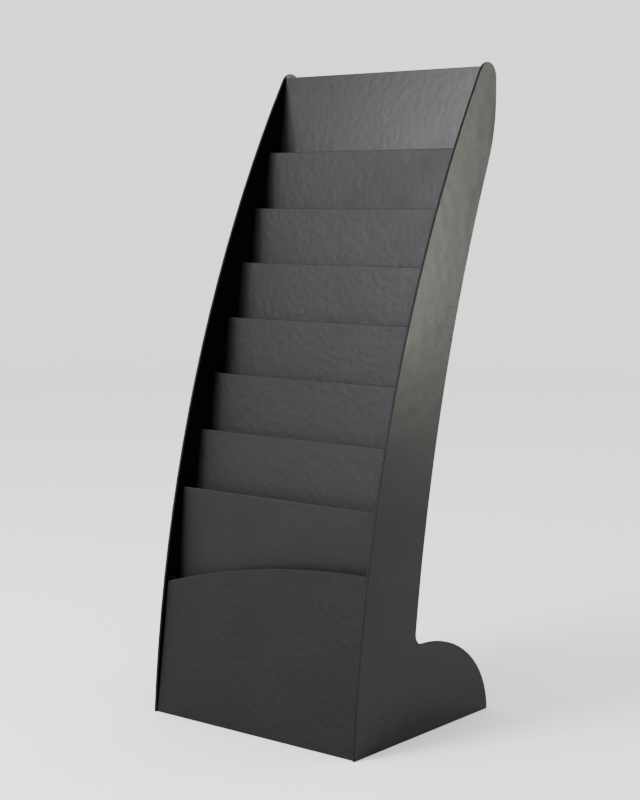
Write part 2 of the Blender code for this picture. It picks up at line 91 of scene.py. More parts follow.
# How copies of the solids are cleaned before they are finished
SEAM = 0.00001
FLAT = math.radians(0.4)
CUT_ANGLE = math.radians(60)
SMOOTH_ANGLE = math.radians(50)
END_TOLERANCE = 0.0002

# How the faces of a piece are told apart
SIDE_FACE = 0.95
LIP_RISE = 0.35
LIP_SIDEWAYS = 0.5
LIP_THICKNESS = 0.0035

# The screws' form
SCREW_STEPS = 28
SCREW_TURN = 0.7
POINT_LENGTH = 0.002
SEAT_GAP = 0.0003
HEAD_OUTLINE = ((0.35, 0.985), (0.65, 0.91), (0.85, 0.76), (0.97, 0.55), (1, 0.38))
FACET_SHARE = 0.8
STRIP_SEGMENTS = 2

# Stretch of the router lines along X: across the thickness of a side panel or of a bent sheet
PANEL_STRETCH = 0.02
SHEET_STRETCH = 40.0

# How far a sheet's finish varies: shares of its colour and steps of its roughness
PATCH_TINT = (0.88, 1.12)
PATCH_ROUGHNESS = (-0.03, 0.04)
VALLEY_TINT = 0.6
VALLEY_SHARE = 0.5
VALLEY_ROUGHNESS = 0.04
DUST_ROUGHNESS = 0.15

# Streaks, marks and wear of routed edges, sawn strips and screws
STREAK_TINT = (0.8, 1.25)
STREAK_ROUGHNESS = 0.08
ROUTER_PITCH, ROUTER_RELIEF = 0.0006, 0.00003
SAW_PITCH, SAW_RELIEF, SAW_STRETCH = 0.0009, 0.00006, 0.05
STRIP_TINT, STRIP_PATCH, STRIP_ROUGHNESS = (0.85, 1.2), 0.05, (0.50, 0.68)
ZINC_TINT, ZINC_PATCH, ZINC_ROUGHNESS = (0.8, 1.3), 0.004, (-0.06, 0.10)
ZINC_RELIEF, ZINC_RUB_WIDTH, ZINC_RUB_BREAK = 0.00004, 0.0003, 0.002

# How strongly rubbing and dust show on each kind of surface
SHEET_RUBBED, EDGE_RUBBED, STRIP_RUBBED, ZINC_RUBBED = 0.7, 0.5, 0.6, 0.7
SHEET_DUST, STRIP_DUST, ZINC_DUST = 0.10, 0.14, 0.25

# Colour of the steel where the plating is rubbed off
BARE_STEEL = (0.42, 0.41, 0.40)

# Stage: place, width, height and colour of each softbox, and the round studio's facets
COOL = (0.95, 0.975, 1.0)
WARM = (1.0, 0.985, 0.87)
SOFTBOXES = {
    "front": ((-0.96, -2.95, 1.63), 1.1, 0.9, COOL),
    "left": ((-1.69, -2.60, 1.63), 1.0, 0.9, COOL),
    "rear": ((3.44, 3.90, 1.12), 0.5, 2.0, WARM),
}
STUDIO_STEPS = 96
PAINT_TINT = (0.99, 1.01)
COVE_STEPS = 10
SENSOR = 36


class SheetFinish(PropertyGroup):
    """The grained black sheet that the rack is bent and cut from."""

    panel_colour: FloatVectorProperty(
        name="Side panel colour",
        description="Colour of the two side panels",
        subtype="COLOR",
        min=0,
        max=1,
        default=(0.0012, 0.0012, 0.0011),
    )
    tray_colour: FloatVectorProperty(
        name="Tray colour",
        description="Colour of the trays, the boards, the header and the front panel",
        subtype="COLOR",
        min=0,
        max=1,
        default=(0.0042, 0.0042, 0.0046),
    )
    edge_colour: FloatVectorProperty(
        name="Cut edge colour",
        description="Colour of the side panels' routed edges and of the strips",
        subtype="COLOR",
        min=0,
        max=1,
        default=(0.0026, 0.0026, 0.0026),
    )
    # Lips: the cut edge's own dark colour, made lighter as a painted highlight for the light that
    # the upward lip catches
    lip_highlight_colour: FloatVectorProperty(
        name="Lip colour",
        description="Colour of the upper edges of trays and panels, where hands rub them",
        subtype="COLOR",
        min=0,
        max=1,
        default=(0.0090, 0.0090, 0.0092),
    )
    rub_colour: FloatVectorProperty(
        name="Rubbed colour",
        description="Colour that handling leaves on the arrises",
        subtype="COLOR",
        min=0,
        max=1,
        default=(0.014, 0.014, 0.0135),
    )
    dust_colour: FloatVectorProperty(
        name="Dust colour",
        description="Colour of the dust that settles on upward faces",
        subtype="COLOR",
        min=0,
        max=1,
        default=(0.10, 0.098, 0.092),
    )
    panel_roughness: FloatProperty(
        name="Side panel roughness",
        description="Roughness of the side panels",
        subtype="FACTOR",
        min=0,
        max=1,
        default=0.22,
    )
    header_roughness: FloatProperty(
        name="Header roughness",
        description="Roughness of the header panel",
        subtype="FACTOR",
        min=0,
        max=1,
        default=0.30,
    )
    tray_roughness: FloatProperty(
        name="Tray roughness",
        description="Roughness of the trays, the front panel and the boards",
        subtype="FACTOR",
        min=0,
        max=1,
        default=0.45,
    )
    edge_roughness: FloatProperty(
        name="Cut edge roughness",
        description="Roughness of routed edges",
        subtype="FACTOR",
        min=0,
        max=1,
        default=0.60,
    )
    grain_cell: FloatProperty(
        name="Grain cell",
        description="Width of one cell of the leather grain",
        unit="LENGTH",
        min=0.0002,
        max=0.01,
        precision=5,
        default=0.0024,
    )
    grain_depth: FloatProperty(
        name="Grain depth",
        description="Height of the grain's cells over its valleys",
        unit="LENGTH",
        min=0,
        max=0.001,
        precision=6,
        default=0.00006,
    )
    tray_mottle_span: FloatProperty(
        name="Tray mottle span",
        description="Distance between the shallow dents that pressing leaves in the trays",
        unit="LENGTH",
        min=0.001,
        max=0.1,
        precision=5,
        default=0.010,
    )
    panel_mottle_span: FloatProperty(
        name="Panel mottle span",
        description="Distance between the shallow dents that pressing leaves in the side panels",
        unit="LENGTH",
        min=0.001,
        max=0.1,
        precision=5,
        default=0.022,
    )
    panel_mottle: FloatProperty(
        name="Panel mottle",
        description="Depth of those dents in the side panels",
        unit="LENGTH",
        min=0,
        max=0.002,
        precision=6,
        default=0.00017,
    )
    header_mottle: FloatProperty(
        name="Header mottle",
        description="Depth of those dents in the header panel, spaced as in the trays",
        unit="LENGTH",
        min=0,
        max=0.002,
        precision=6,
        default=0.00015,
    )
    front_mottle: FloatProperty(
        name="Front mottle",
        description="Depth of those dents in the front panel, spaced as in the trays",
        unit="LENGTH",
        min=0,
        max=0.002,
        precision=6,
        default=0.0005,
    )
    tray_mottle: FloatProperty(
        name="Tray mottle",
        description="Depth of those dents in the trays and the boards",
        unit="LENGTH",
        min=0,
        max=0.002,
        precision=6,
        default=0.00032,
    )
    wave_span: FloatProperty(
        name="Wave span",
        description="Distance between the slow waves of a sheet that isn't quite flat",
        unit="LENGTH",
        min=0.02,
        max=1,
        default=0.16,
    )
    wave_height: FloatProperty(
        name="Wave height",
        description="Height of those waves",
        unit="LENGTH",
        min=0,
        max=0.01,
        precision=6,
        default=0.0003,
    )
    rub_width: FloatProperty(
        name="Rubbed width",
        description="How far from an arris its rubbed line reaches",
        unit="LENGTH",
        min=0.0001,
        max=0.01,
        precision=5,
        default=0.0009,
    )
    front_gloss: FloatProperty(
        name="Front gloss",
        description="Strength of the reflections of the front panel, which feet have dulled",
        subtype="FACTOR",
        min=0,
        max=1,
        default=0.09,
    )
    panel_gloss: FloatProperty(
        name="Side panel gloss",
        description="Strength of the side panels' reflections",
        subtype="FACTOR",
        min=0,
        max=1,
        default=0.126,
    )
    tray_gloss: FloatProperty(
        name="Tray gloss",
        description="Strength of the trays' and the boards' reflections",
        subtype="FACTOR",
        min=0,
        max=1,
        default=0.12,
    )
    header_gloss: FloatProperty(
        name="Header gloss",
        description="Strength of the header panel's reflections, which nothing has rubbed dull",
        subtype="FACTOR",
        min=0,
        max=1,
        default=0.13,
    )
    edge_gloss: FloatProperty(
        name="Cut edge gloss",
        description="Strength of the side panels' edges' reflections",
        subtype="FACTOR",
        min=0,
        max=1,
        default=0.10,
    )


class EdgeSizes(PropertyGroup):
    """How far sharp cut edges are eased."""

    sheet_arris: FloatProperty(
        name="Sheet arris",
        description="Rounding of a bent sheet's cut edges",
        unit="LENGTH",
        min=0.0001,
        max=0.001,
        precision=5,
        default=0.0004,
    )
    strip_arris: FloatProperty(
        name="Strip arris",
        description="Rounding of the sawn strips' edges",
        unit="LENGTH",
        min=0.0001,
        max=0.001,
        precision=5,
        default=0.0004,
    )
    arris_segments: IntProperty(
        name="Arris segments",
        description="Faces across each rounded edge",
        min=1,
        max=6,
        default=3,
    )


class ScrewSizes(PropertyGroup):
    """Pan head screws with a cross recess."""

    head_radius: FloatProperty(
        name="Head radius",
        description="Radius of the pan head",
        unit="LENGTH",
        min=0.001,
        max=0.01,
        precision=5,
        default=0.0035,
    )
    head_height: FloatProperty(
        name="Head height",
        description="Height of the pan head over its seat",
        unit="LENGTH",
        min=0.0005,
        max=0.005,
        precision=5,
        default=0.0022,
    )
    shank_radius: FloatProperty(
        name="Shank radius",
        description="Radius of the shank",
        unit="LENGTH",
        min=0.0005,
        max=0.005,
        precision=5,
        default=0.00175,
    )
    length: FloatProperty(
        name="Length",
        description="Length under the head",
        unit="LENGTH",
        min=0.004,
        max=0.05,
        precision=5,
        default=0.014,
    )
    recess_width: FloatProperty(
        name="Recess width",
        description="Length of each slot of the cross recess",
        unit="LENGTH",
        min=0.001,
        max=0.008,
        precision=5,
        default=0.0042,
    )
    recess_slot: FloatProperty(
        name="Recess slot",
        description="Width of each slot of the cross recess",
        unit="LENGTH",
        min=0.0002,
        max=0.003,
        precision=5,
        default=0.0009,
    )
    recess_depth: FloatProperty(
        name="Recess depth",
        description="Depth of the cross recess",
        unit="LENGTH",
        min=0.0002,
        max=0.003,
        precision=5,
        default=0.0013,
    )
    colour: FloatVectorProperty(
        name="Plating colour",
        description="Colour of the black zinc plating",
        subtype="COLOR",
        min=0,
        max=1,
        default=(0.085, 0.085, 0.090),
    )
    roughness: FloatProperty(
        name="Plating roughness",
        description="Roughness of the plating",
        subtype="FACTOR",
        min=0,
        max=1,
        default=0.36,
    )


class StageSettings(PropertyGroup):
    """Floor, lights and camera."""

    floor_colour: FloatVectorProperty(
        name="Floor colour",
        description="Colour of the floor and of the wall it curves up into",
        subtype="COLOR",
        min=0,
        max=1,
        default=(0.80, 0.80, 0.80),
    )
    floor_radius: FloatProperty(
        name="Floor radius",
        description="Radius of the flat floor",
        unit="LENGTH",
        min=2,
        max=20,
        default=5.0,
    )
    wall_height: FloatProperty(
        name="Wall height",
        description="Height of the round wall",
        unit="LENGTH",
        min=1,
        max=10,
        default=4.5,
    )
    cove_radius: FloatProperty(
        name="Cove radius",
        description="Radius of the curve between floor and wall",
        unit="LENGTH",
        min=0.2,
        max=4,
        default=2.0,
    )
    sky: FloatProperty(
        name="Sky strength",
        description="Brightness of the even light from above",
        min=0,
        max=10,
        default=2.1,
    )
    front_light: FloatProperty(
        name="Front light",
        description="Power of the softbox in front",
        unit="POWER",
        min=0,
        max=2000,
        default=222,
    )
    rear_light: FloatProperty(
        name="Rear light",
        description="Power of the softbox at the rear right",
        unit="POWER",
        min=0,
        max=2000,
        default=100,
    )
    left_light: FloatProperty(
        name="Left light",
        description="Power of the softbox at the front left",
        unit="POWER",
        min=0,
        max=2000,
        default=43,
    )
    camera_place: FloatVectorProperty(
        name="Camera place",
        description="Where the photograph was taken from",
        subtype="TRANSLATION",
        unit="LENGTH",
        default=(1.644, -2.0489, 0.7807),
    )
    camera_turn: FloatProperty(
        name="Camera turn",
        description="How far the view turns left of straight ahead",
        subtype="ANGLE",
        default=math.radians(38.85),
    )
    camera_dip: FloatProperty(
        name="Camera dip",
        description="How far the view looks down",
        subtype="ANGLE",
        default=math.radians(4.38),
    )
    lens: FloatProperty(
        name="Lens",
        description="Focal length for a sensor 36 mm along its longer side",
        subtype="DISTANCE_CAMERA",
        min=10,
        max=300,
        default=77.33,
    )
    shift: FloatVectorProperty(
        name="Shift",
        description="Sideways and upward shift of the frame",
        size=2,
        default=(-0.001, -0.0775),
    )


def add(tree, kind, inputs=None, **settings):
    """A shader node with its settings made and its inputs set or linked."""
    made = tree.nodes.new("ShaderNode" + kind)
    made.location.x = 180 * len(tree.nodes)
    for name, value in settings.items():
        setattr(made, name, value)
    for key, value in (inputs or {}).items():
        if isinstance(value, bpy.types.NodeSocket):
            tree.links.new(value, made.inputs[key])
        else:
            made.inputs[key].default_value = value
    return made


def math_node(tree, operation, *values):
    """The result of a Math node."""
    return add(tree, "Math", dict(enumerate(values)), operation=operation).outputs[0]


def mixed(tree, factor, first, second):
    """A colour between two colours, by a Mix node's colour sockets."""
    made = add(tree, "Mix", data_type="RGBA")
    ends = [socket for socket in made.inputs if socket.type == "RGBA"]
    for value, socket in zip((factor, first, second), (made.inputs[0], *ends)):
        if isinstance(value, bpy.types.NodeSocket):
            tree.links.new(value, socket)
        else:
            socket.default_value = value
    return next(socket for socket in made.outputs if socket.type == "RGBA")


def places(tree):
    """Object coordinates, in metres."""
    return add(tree, "TexCoord").outputs["Object"]


def new_group(name, inputs, outputs):
    """An empty node group with named number inputs and outputs."""
    tree = bpy.data.node_groups.new(name, "ShaderNodeTree")
    for label, value in inputs.items():
        socket = tree.interface.new_socket(label, in_out="INPUT", socket_type="NodeSocketFloat")
        socket.default_value = value
    for label in outputs:
        tree.interface.new_socket(label, in_out="OUTPUT", socket_type="NodeSocketFloat")
    entry = tree.nodes.new("NodeGroupInput")
    leave = tree.nodes.new("NodeGroupOutput")
    return tree, entry, leave


def leather_grain():
    """Group: rounded cells with narrow valleys, like the grain pressed into the sheet."""
    name = "leather grain"
    if name in bpy.data.node_groups:
        return bpy.data.node_groups[name]
    tree, entry, leave = new_group(name, {"Cell": 0.001}, ("Height", "Valley"))
    density = math_node(tree, "DIVIDE", 1.0, entry.outputs["Cell"])
    here = places(tree)
    drift = add(tree, "TexNoise", {"Vector": here, "Scale": density, "Detail": 1.0})
    shift = {0: drift.outputs["Color"], "Scale": 0.0006}
    pushed = add(tree, "VectorMath", shift, operation="SCALE")
    bent = add(tree, "VectorMath", {0: here, 1: pushed.outputs[0]}, operation="ADD")
    cells = add(
        tree,
        "TexVoronoi",
        {"Vector": bent.outputs[0], "Scale": density, "Smoothness": 0.5},
        feature="SMOOTH_F1",
    )
    fine_density = math_node(tree, "MULTIPLY", density, 2.6)
    fine = add(tree, "TexNoise", {"Vector": here, "Scale": fine_density, "Detail": 2.0})
    dome = math_node(tree, "SUBTRACT", 1.0, cells.outputs["Distance"])
    fine_part = math_node(tree, "MULTIPLY", fine.outputs[0], 0.35)
    height = math_node(tree, "MULTIPLY_ADD", dome, 0.65, fine_part)
    tree.links.new(height, leave.inputs["Height"])
    valley = add(tree, "MapRange", {0: cells.outputs["Distance"], 1: 0.45, 2: 0.85})
    tree.links.new(valley.outputs[0], leave.inputs["Valley"])
    return tree


def slow_waves():
    """Group: the slow waves of a thin sheet, and the patches its gloss varies by."""
    name = "slow waves"
    if name in bpy.data.node_groups:
        return bpy.data.node_groups[name]
    tree, entry, leave = new_group(name, {"Span": 0.16}, ("Height", "Patch"))
    density = math_node(tree, "DIVIDE", 1.0, entry.outputs["Span"])
    here = places(tree)
    broad = add(tree, "TexNoise", {"Vector": here, "Scale": density, "Detail": 0.0})
    tree.links.new(broad.outputs[0], leave.inputs["Height"])
    patch_density = math_node(tree, "MULTIPLY", density, 2.3)
    patch = add(tree, "TexNoise", {"Vector": here, "Scale": patch_density, "Detail": 4.0})
    spread = add(tree, "MapRange", {0: patch.outputs[0], 1: 0.3, 2: 0.7})
    tree.links.new(spread.outputs[0], leave.inputs["Patch"])
    return tree


def pressed_mottle():
    """Group: shallow dents, a few times wider than the grain."""
    name = "pressed mottle"
    if name in bpy.data.node_groups:
        return bpy.data.node_groups[name]
    tree, entry, leave = new_group(name, {"Span": 0.009}, ("Height",))
    density = math_node(tree, "DIVIDE", 1.0, entry.outputs["Span"])
    dents = add(tree, "TexNoise", {"Vector": places(tree), "Scale": density, "Detail": 0.0})
    tree.links.new(dents.outputs[0], leave.inputs["Height"])
    return tree


def rubbed_arris():
    """Group: a broken line along the arrises, where hands and boxes rub them."""
    name = "rubbed arris"
    if name in bpy.data.node_groups:
        return bpy.data.node_groups[name]
    tree, entry, leave = new_group(name, {"Width": 0.001, "Break": 0.012}, ("Mask",))
    rounded = add(tree, "Bevel", {"Radius": entry.outputs["Width"]}, samples=4)
    plain = add(tree, "NewGeometry")
    both = {0: rounded.outputs[0], 1: plain.outputs["Normal"]}
    likeness = add(tree, "VectorMath", both, operation="DOT_PRODUCT")
    bend = add(tree, "MapRange", {0: likeness.outputs["Value"], 1: 0.995, 2: 0.86})
    density = math_node(tree, "DIVIDE", 1.0, entry.outputs["Break"])
    gaps = add(tree, "TexNoise", {"Vector": places(tree), "Scale": density, "Detail": 5.0})
    kept = add(tree, "MapRange", {0: gaps.outputs[0], 1: 0.42, 2: 0.68})
    mask = math_node(tree, "MULTIPLY", bend.outputs[0], kept.outputs[0])
    tree.links.new(mask, leave.inputs["Mask"])
    return tree


def settled_dust():
    """Group: thin dust on faces that look up."""
    name = "settled dust"
    if name in bpy.data.node_groups:
        return bpy.data.node_groups[name]
    tree, entry, leave = new_group(name, {"Patch": 0.03}, ("Mask",))
    facing = add(tree, "SeparateXYZ", {0: add(tree, "NewGeometry").outputs["Normal"]})
    upward = add(tree, "MapRange", {0: facing.outputs["Z"], 1: 0.35, 2: 1.0})
    density = math_node(tree, "DIVIDE", 1.0, entry.outputs["Patch"])
    cloud = add(tree, "TexNoise", {"Vector": places(tree), "Scale": density, "Detail": 6.0})
    thick = add(tree, "MapRange", {0: cloud.outputs[0], 1: 0.35, 2: 0.75})
    mask = math_node(tree, "MULTIPLY", upward.outputs[0], thick.outputs[0])
    tree.links.new(mask, leave.inputs["Mask"])
    return tree


def tool_marks():
    """Group: fine lines that a saw or router leaves, drawn out along X by a stretch."""
    name = "tool marks"
    if name in bpy.data.node_groups:
        return bpy.data.node_groups[name]
    tree, entry, leave = new_group(name, {"Pitch": 0.0007, "Stretch": 0.02}, ("Height",))
    stretched = add(tree, "CombineXYZ", {0: entry.outputs["Stretch"], 1: 1.0, 2: 1.0})
    drawn = add(
        tree,
        "VectorMath",
        {0: places(tree), 1: stretched.outputs[0]},
        operation="MULTIPLY",
    )
    density = math_node(tree, "DIVIDE", 1.0, entry.outputs["Pitch"])
    lines = add(tree, "TexNoise", {"Vector": drawn.outputs[0], "Scale": density, "Detail": 3.0})
    tree.links.new(lines.outputs[0], leave.inputs["Height"])
    return tree


def use(tree, group, **values):
    """A group placed in a material with its own values."""
    made = tree.nodes.new("ShaderNodeGroup")
    made.node_tree = group
    made.location.x = 180 * len(tree.nodes)
    for key, value in values.items():
        made.inputs[key].default_value = value
    return made.outputs


def new_material(name):
    """A material, its node tree and its Principled shader."""
    material = bpy.data.materials.new(name)
    material.use_nodes = True
    tree = material.node_tree
    return material, tree, tree.nodes["Principled BSDF"]


def shaded(colour, share):
    """A colour made darker or lighter, with full alpha."""
    return (*[min(channel * share, 1) for channel in colour], 1)


def tints(colour, shares):
    """The darker and the lighter form of a colour."""
    return [shaded(colour, share) for share in shares]


def between(tree, mask, low, high):
    """A number that follows a mask from one value to another."""
    return add(tree, "MapRange", {0: mask, 3: low, 4: high}).outputs[0]


def overlaid(tree, mask, share, under, over):
    """A colour laid over another one where a mask is high, up to a share of it."""
    return mixed(tree, math_node(tree, "MULTIPLY", mask, share), under, shaded(over, 1))


def bumped(tree, height, distance, normal=None):
    """A Bump node's normal, on top of another where one is given."""
    inputs = {"Height": height, "Distance": distance, "Strength": 1.0}
    if normal is not None:
        inputs["Normal"] = normal
    return add(tree, "Bump", inputs).outputs[0]


def grained_sheet(name, colour, gloss, roughness, span, depth, finish):
    """Black plastic sheet with a pressed leather grain and a satin sheen."""
    if name in bpy.data.materials:
        return bpy.data.materials[name]
    material, tree, shader = new_material(name)
    grain = use(tree, leather_grain(), Cell=finish.grain_cell)
    waves = use(tree, slow_waves(), Span=finish.wave_span)
    rubbed = use(tree, rubbed_arris(), Width=finish.rub_width)["Mask"]
    dust = use(tree, settled_dust())["Mask"]
    patched = mixed(tree, waves["Patch"], *tints(colour, PATCH_TINT))
    sunk = math_node(tree, "MULTIPLY", grain["Valley"], VALLEY_SHARE)
    valleys = mixed(tree, sunk, patched, shaded(colour, VALLEY_TINT))
    worn = overlaid(tree, rubbed, SHEET_RUBBED, valleys, finish.rub_colour)
    dusty = overlaid(tree, dust, SHEET_DUST, worn, finish.dust_colour)
    tree.links.new(dusty, shader.inputs["Base Color"])
    satin = between(tree, waves["Patch"], *[roughness + step for step in PATCH_ROUGHNESS])
    matted = math_node(tree, "MULTIPLY_ADD", grain["Valley"], VALLEY_ROUGHNESS, satin)
    dulled = math_node(tree, "MULTIPLY_ADD", dust, DUST_ROUGHNESS, matted)
    tree.links.new(dulled, shader.inputs["Roughness"])
    shader.inputs["Specular IOR Level"].default_value = gloss
    slow = bumped(tree, waves["Height"], finish.wave_height)
    mottle = use(tree, pressed_mottle(), Span=span)["Height"]
    dented = bumped(tree, mottle, depth, slow)
    grained = bumped(tree, grain["Height"], finish.grain_depth, dented)
    tree.links.new(grained, shader.inputs["Normal"])
    return material


def routed_edge(name, colour, gloss, stretch, finish):
    """A sheet's cut edge: smoother than the grain, with fine router lines across it."""
    if name in bpy.data.materials:
        return bpy.data.materials[name]
    material, tree, shader = new_material(name)
    lines = use(tree, tool_marks(), Pitch=ROUTER_PITCH, Stretch=stretch)["Height"]
    rubbed = use(tree, rubbed_arris(), Width=finish.rub_width)["Mask"]
    streaked = mixed(tree, lines, *tints(colour, STREAK_TINT))
    worn = overlaid(tree, rubbed, EDGE_RUBBED, streaked, finish.rub_colour)
    tree.links.new(worn, shader.inputs["Base Color"])
    middle = finish.edge_roughness
    rough = between(tree, lines, middle - STREAK_ROUGHNESS, middle + STREAK_ROUGHNESS)
    tree.links.new(rough, shader.inputs["Roughness"])
    shader.inputs["Specular IOR Level"].default_value = gloss
    tree.links.new(bumped(tree, lines, ROUTER_RELIEF), shader.inputs["Normal"])
    return material


def sawn_strip(name, finish):
    """The strips inside the rack: plain black plastic with saw lines along it."""
    if name in bpy.data.materials:
        return bpy.data.materials[name]
    material, tree, shader = new_material(name)
    lines = use(tree, tool_marks(), Pitch=SAW_PITCH, Stretch=SAW_STRETCH)["Height"]
    waves = use(tree, slow_waves(), Span=STRIP_PATCH)
    dust = use(tree, settled_dust())["Mask"]
    rubbed = use(tree, rubbed_arris(), Width=finish.rub_width)["Mask"]
    patched = mixed(tree, waves["Patch"], *tints(finish.edge_colour, STRIP_TINT))
    worn = overlaid(tree, rubbed, STRIP_RUBBED, patched, finish.rub_colour)
    dusty = overlaid(tree, dust, STRIP_DUST, worn, finish.dust_colour)
    tree.links.new(dusty, shader.inputs["Base Color"])
    tree.links.new(between(tree, lines, *STRIP_ROUGHNESS), shader.inputs["Roughness"])
    shader.inputs["Specular IOR Level"].default_value = finish.tray_gloss
    tree.links.new(bumped(tree, lines, SAW_RELIEF), shader.inputs["Normal"])
    return material


def black_zinc(name, sizes, finish):
    """Black zinc plating on steel screws."""
    if name in bpy.data.materials:
        return bpy.data.materials[name]
    material, tree, shader = new_material(name)
    patches = use(tree, slow_waves(), Span=ZINC_PATCH)
    worn = use(tree, rubbed_arris(), Width=ZINC_RUB_WIDTH, Break=ZINC_RUB_BREAK)["Mask"]
    dust = use(tree, settled_dust(), Patch=ZINC_PATCH)["Mask"]
    plated = mixed(tree, patches["Patch"], *tints(sizes.colour, ZINC_TINT))
    bare = overlaid(tree, worn, ZINC_RUBBED, plated, BARE_STEEL)
    dusty = overlaid(tree, dust, ZINC_DUST, bare, finish.dust_colour)
    tree.links.new(dusty, shader.inputs["Base Color"])
    shader.inputs["Metallic"].default_value = 1.0
    steps = [sizes.roughness + step for step in ZINC_ROUGHNESS]
    rough = between(tree, patches["Patch"], *steps)
    tree.links.new(rough, shader.inputs["Roughness"])
    tree.links.new(bumped(tree, patches["Height"], ZINC_RELIEF), shader.inputs["Normal"])
    return material


def whole_faces(node):
    """A bmesh of a solid's surface, with its triangles joined into whole flat faces."""
    form = bmesh.new()
    form.from_mesh(frame["nodes"][node].data)
    bmesh.ops.remove_doubles(form, verts=form.verts, dist=SEAM)
    bmesh.ops.dissolve_limit(form, angle_limit=FLAT, verts=form.verts, edges=form.edges)
    return form


def ease_edges(form, width, segments, facet):
    """Rounds the sharp cut edges of a sheet or strip, and leaves its screw holes alone.

    A hole's edges are known by their length, which is not over the facet given.
    """
    reach = max(abs(v.co.x) for v in form.verts)
    chosen = []
    for edge in form.edges:
        if len(edge.link_faces) != 2 or edge.calc_face_angle() < CUT_ANGLE:
            continue
        at_end = all(reach - abs(v.co.x) < END_TOLERANCE for v in edge.verts)
        if at_end or edge.calc_length() > facet:
            chosen.append(edge)
    bmesh.ops.bevel(
        form,
        geom=chosen,
        offset=width,
        offset_type="OFFSET",
        segments=segments,
        profile=0.5,
        affect="EDGES",
        clamp_overlap=True,
        material=-1,
    )


def stand_in(form, name, nodes, slot, *materials):
    """A finished piece that shows in place of solids, shaded smooth between its cut edges."""
    mesh = bpy.data.meshes.new(name)
    form.to_mesh(mesh)
    form.free()
    for material in materials:
        mesh.materials.append(material)
    mesh.shade_smooth()
    mesh.set_sharp_from_angle(angle=SMOOTH_ANGLE)
    piece = bpy.data.objects.new(name, mesh)
    bpy.context.scene.collection.objects.link(piece)
    even = piece.modifiers.new("even_shading", "WEIGHTED_NORMAL")
    even.weight = 100
    even.keep_sharp = True
    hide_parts(*nodes)
    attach(piece, ROOT)


def hole_facet(sizes):
    """The longest side of a screw hole's outline, with room to spare."""
    return sizes.shank_radius * FACET_SHARE


def bent_sheet(context, node, sheet):
    """A bent or flat sheet with eased cut edges, and a routed lip where it ends at its top."""
    scene = context.scene
    edges = scene.rack_edges
    form = whole_faces(node)
    ease_edges(form, edges.sheet_arris, edges.arris_segments, hole_facet(scene.rack_screws))
    finish = scene.rack_sheet
    # The lip colour is a painted highlight laid over the cut edge's own dark colour
    lip = (finish.lip_highlight_colour, finish.tray_gloss, SHEET_STRETCH)
    edge = routed_edge("routed_sheet_edge", *lip, finish)
    for face in form.faces:
        ends_up = face.normal.z > LIP_RISE and abs(face.normal.x) < LIP_SIDEWAYS
        narrow = min(e.calc_length() for e in face.edges) < LIP_THICKNESS
        face.material_index = 1 if ends_up and narrow else 0
    stand_in(form, node + "_finished", [node], "tray_plastic", sheet, edge)


def tray_sheet(finish):
    """The sheet that the trays and the boards are made of."""
    surface = (finish.tray_gloss, finish.tray_roughness)
    dents = (finish.tray_mottle_span, finish.tray_mottle)
    return grained_sheet("grained_tray_sheet", finish.tray_colour, *surface, *dents, finish)


class RACK_OT_side_panels(Operator):
    """Finish the two curved side panels"""

    bl_idname = "rack.side_panels"
    bl_label = "Side Panels"

    def execute(self, context):
        finish = context.scene.rack_sheet
        surface = (finish.panel_gloss, finish.panel_roughness)
        dents = (finish.panel_mottle_span, finish.panel_mottle)
        sheet = grained_sheet("grained_panel_sheet", finish.panel_colour, *surface, *dents, finish)
        cut = (finish.edge_colour, finish.edge_gloss, PANEL_STRETCH)
        edge = routed_edge("routed_panel_edge", *cut, finish)
        for side in SIDES:
            node = f"side_panel_{side}"
            form = whole_faces(node)
            for face in form.faces:
                face.material_index = 0 if abs(face.normal.x) > SIDE_FACE else 1
            stand_in(form, node + "_finished", [node], "panel_plastic", sheet, edge)
        return {"FINISHED"}


class RACK_OT_header_panel(Operator):
    """Finish the header panel between the tips"""

    bl_idname = "rack.header_panel"
    bl_label = "Header Panel"

    def execute(self, context):
        finish = context.scene.rack_sheet
        surface = (finish.header_gloss, finish.header_roughness)
        dents = (finish.tray_mottle_span, finish.header_mottle)
        sheet = grained_sheet("grained_header_sheet", finish.tray_colour, *surface, *dents, finish)
        bent_sheet(context, "header_panel", sheet)
        return {"FINISHED"}


class RACK_OT_pocket_trays(Operator):
    """Finish the bent pocket trays and the tray of the bottom pocket"""

    bl_idname = "rack.pocket_trays"
    bl_label = "Pocket Trays"

    def execute(self, context):
        sheet = tray_sheet(context.scene.rack_sheet)
        for node in TRAYS + ["bottom_tray"]:
            bent_sheet(context, node, sheet)
        return {"FINISHED"}


class RACK_OT_front_panel(Operator):
    """Finish the front panel with its arched top edge"""

    bl_idname = "rack.front_panel"
    bl_label = "Front Panel"

    def execute(self, context):
        finish = context.scene.rack_sheet
        surface = (finish.front_gloss, finish.tray_roughness)
        dents = (finish.tray_mottle_span, finish.front_mottle)
        sheet = grained_sheet("grained_front_sheet", finish.tray_colour, *surface, *dents, finish)
        bent_sheet(context, "front_panel", sheet)
        return {"FINISHED"}


class RACK_OT_base_boards(Operator):
    """Finish the base shelf, the heel rail and the column brace"""

    bl_idname = "rack.base_boards"
    bl_label = "Base Boards"

    def execute(self, context):
        sheet = tray_sheet(context.scene.rack_sheet)
        for node in ("base_shelf", "heel_rail", "column_brace"):
            bent_sheet(context, node, sheet)
        return {"FINISHED"}


class RACK_OT_strips(Operator):
    """Finish the stringers, cleats and blocks inside the side panels"""

    bl_idname = "rack.strips"
    bl_label = "Stringers and Cleats"

    def execute(self, context):
        scene = context.scene
        edges = scene.rack_edges
        material = sawn_strip("sawn_strip", scene.rack_sheet)
        for kind in ("stringer", "header_cleat", "front_cleat", "base_cleat", "heel_block"):
            for side in SIDES:
                node = f"{kind}_{side}"
                form = whole_faces(node)
                facet = hole_facet(scene.rack_screws)
                ease_edges(form, edges.strip_arris, STRIP_SEGMENTS, facet)
                stand_in(form, node + "_finished", [node], "strip_plastic", material)
        return {"FINISHED"}


